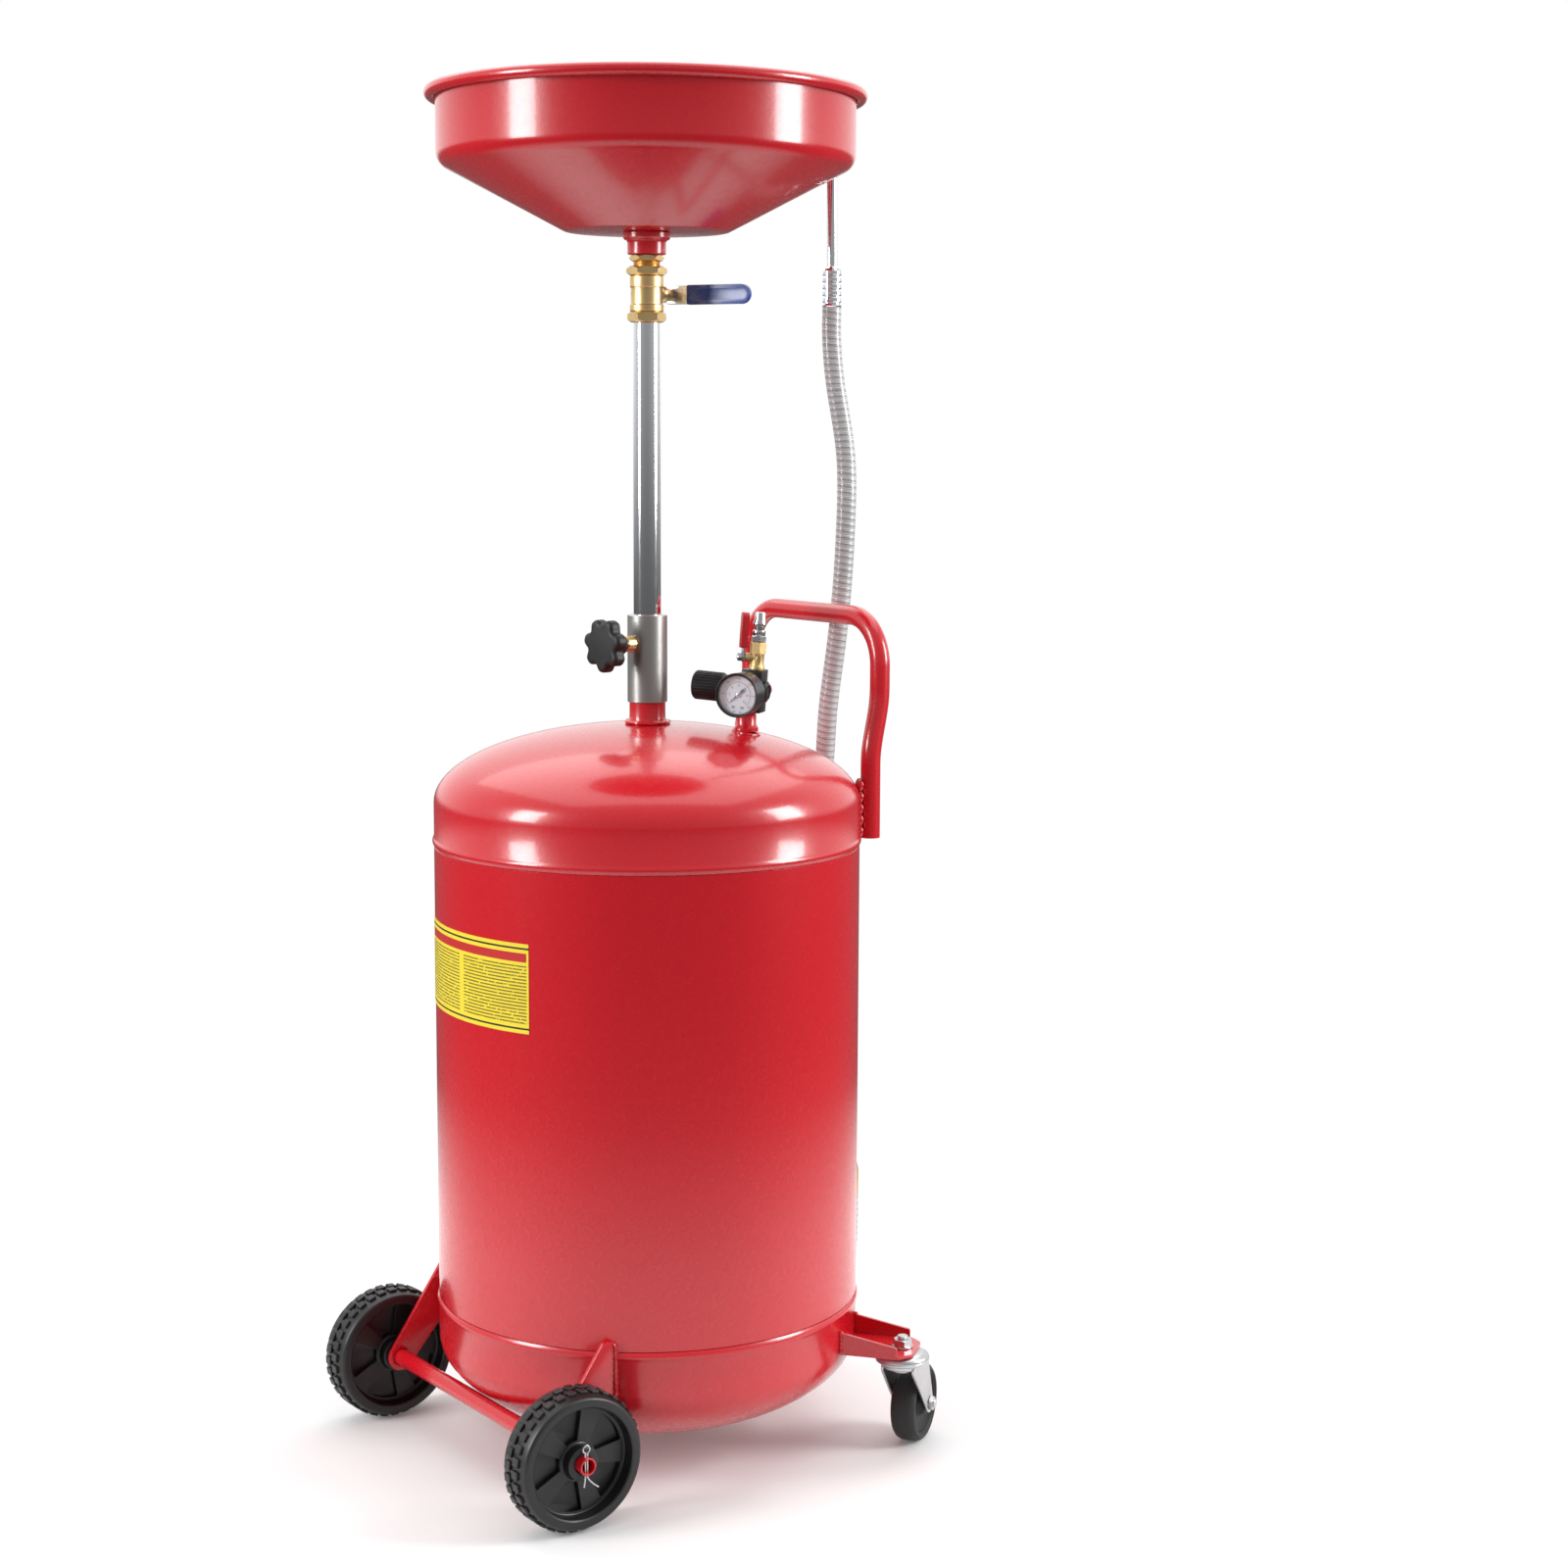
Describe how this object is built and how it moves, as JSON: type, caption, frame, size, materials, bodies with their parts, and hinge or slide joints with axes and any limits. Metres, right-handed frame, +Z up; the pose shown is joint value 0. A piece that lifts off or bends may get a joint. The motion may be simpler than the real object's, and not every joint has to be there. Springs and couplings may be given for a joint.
{
  "type": "waste oil drain tank",
  "caption": "Portable air-operated waste-oil drain: a welded tank on wheels and swivel casters, with a telescoping drain bowl, ball valve, air regulator and discharge hose.",
  "frame": {"origin": "on the floor, at the centre of the footprint of everything but the free hose and its wand; the tank axis is 1.2 mm in front of it along +X", "axes": "+Z up along the tank and its column, +X towards the push handle and the casters, +Y along the rear axle, so the air regulator stands at -Y"},
  "size_m": [0.5121, 0.4418, 1.2767],
  "materials": {
    "red_paint": "gloss enamel",
    "brass": "machined and cast",
    "chrome": "plated",
    "brushed_steel": "turned",
    "zinc_plate": "zinc plated",
    "black_plastic": "satin",
    "black_rubber": "moulded",
    "red_vinyl": "dipped",
    "blue_vinyl": "dipped",
    "dial_white": "printed",
    "clear_plastic": "clear",
    "label_yellow": "printed film",
    "reinforced_hose": "clear with a wire and cord braid"
  },
  "bodies": {
    "tank": {"tank_barrel": "red_paint", "upper_head": "red_paint", "lower_head": "red_paint", "column_socket": "red_paint", "clamp_collar": "brushed_steel", "clamp_bush": "brass", "push_handle": "red_paint", "axle": "red_paint", "axle_plate_right": "red_paint", "axle_plate_left": "red_paint", "cotter_pin_right": "zinc_plate", "cotter_pin_left": "zinc_plate", "caster_bracket_right": "red_paint", "caster_bracket_left": "red_paint", "caster_stem_right": "zinc_plate", "caster_stem_left": "zinc_plate", "regulator_riser": "red_paint", "regulator_block": "black_plastic", "regulator_ring": "red_vinyl", "port_plug": "black_plastic", "gauge_case": "black_plastic", "gauge_dial": "dial_white", "gauge_lens": "clear_plastic", "relief_body": "brass", "relief_sleeve": "red_vinyl", "air_valve_body": "brass", "quick_plug": "chrome", "warning_label": "label_yellow", "outlet_elbow": "brass", "hose": "reinforced_hose"},
    "column": {"column_tube": "chrome", "drain_valve_body": "brass", "drain_valve_nut": "brass", "bowl_nipple": "brass", "bowl_socket": "red_paint", "drain_bowl": "red_paint", "hose_ferrule": "chrome", "discharge_wand": "chrome"},
    "drain_lever": {"drain_ball": "chrome", "drain_lever_strap": "chrome", "drain_lever_grip": "blue_vinyl", "drain_lever_nut": "zinc_plate"},
    "clamp": {"clamp_knob": "black_plastic", "clamp_screw": "brushed_steel"},
    "air_lever": {"air_valve_stem": "chrome", "air_lever_strap": "zinc_plate", "air_lever_grip": "red_vinyl", "air_lever_nut": "zinc_plate"},
    "pressure_knob": {"regulator_knob": "black_plastic"},
    "needle": {"gauge_needle": "black_plastic"},
    "relief": {"relief_pin": "zinc_plate"},
    "wheel_right": {"rear_wheel_right": "black_rubber"},
    "wheel_left": {"rear_wheel_left": "black_rubber"},
    "swivel_right": {"caster_fork_right": "zinc_plate", "caster_axle_right": "zinc_plate"},
    "swivel_left": {"caster_fork_left": "zinc_plate", "caster_axle_left": "zinc_plate"},
    "roller_right": {"caster_wheel_right": "black_rubber"},
    "roller_left": {"caster_wheel_left": "black_rubber"}
  },
  "joints": [
    {"name": "column_lift", "type": "slide", "parent": "tank", "child": "column", "axis": [0, 0, 1], "range_m": [-0.25, 0.2], "deforming": ["hose"]},
    {"name": "drain_valve", "type": "hinge", "parent": "column", "child": "drain_lever", "pos_m": [0.0012, 0, 1.082], "axis": [0.8894, 0.4571, 0], "range_deg": [0, 90]},
    {"name": "clamp_turn", "type": "hinge", "parent": "tank", "child": "clamp", "pos_m": [0.0012, 0, 0.76], "axis": [-0.9871, -0.1599, 0], "range_deg": [0, 720]},
    {"name": "air_valve", "type": "hinge", "parent": "tank", "child": "air_lever", "pos_m": [0.07991, -0.06701, 0.74712], "axis": [-0.9206, 0.3858, 0.0604], "range_deg": [0, 90]},
    {"name": "pressure_set", "type": "hinge", "parent": "tank", "child": "pressure_knob", "pos_m": [0.0777, -0.0641, 0.7163], "axis": [-0.6031, 0.7946, 0.0698], "range_deg": [-540, 540]},
    {"name": "gauge_reading", "type": "hinge", "parent": "tank", "child": "needle", "pos_m": [0.04114, -0.09185, 0.7163], "axis": [-0.7965, -0.6046, 0], "range_deg": [-270, 0], "stiffness_Nm_per_rad": 0.001},
    {"name": "relief_pull", "type": "slide", "parent": "tank", "child": "relief", "axis": [0.7965, 0.6046, 0], "range_m": [0, 0.003], "stiffness_N_per_m": 400, "springref_m": -0.001},
    {"name": "wheel_right_roll", "type": "hinge", "parent": "tank", "child": "wheel_right", "pos_m": [-0.1888, -0.1725, 0.0635], "axis": [0, 1, 0], "continuous": true},
    {"name": "wheel_left_roll", "type": "hinge", "parent": "tank", "child": "wheel_left", "pos_m": [-0.1888, 0.1725, 0.0635], "axis": [0, 1, 0], "continuous": true},
    {"name": "caster_right_swivel", "type": "hinge", "parent": "tank", "child": "swivel_right", "pos_m": [0.15947, -0.19545, 0.09], "axis": [0, 0, 1], "continuous": true},
    {"name": "caster_right_roll", "type": "hinge", "parent": "swivel_right", "child": "roller_right", "pos_m": [0.18896, -0.1766, 0.0375], "axis": [-0.5388, 0.8425, 0], "continuous": true},
    {"name": "caster_left_swivel", "type": "hinge", "parent": "tank", "child": "swivel_left", "pos_m": [0.15947, 0.19545, 0.09], "axis": [0, 0, 1], "continuous": true},
    {"name": "caster_left_roll", "type": "hinge", "parent": "swivel_left", "child": "roller_left", "pos_m": [0.18896, 0.1766, 0.0375], "axis": [0.5388, 0.8425, 0], "continuous": true}
  ]
}
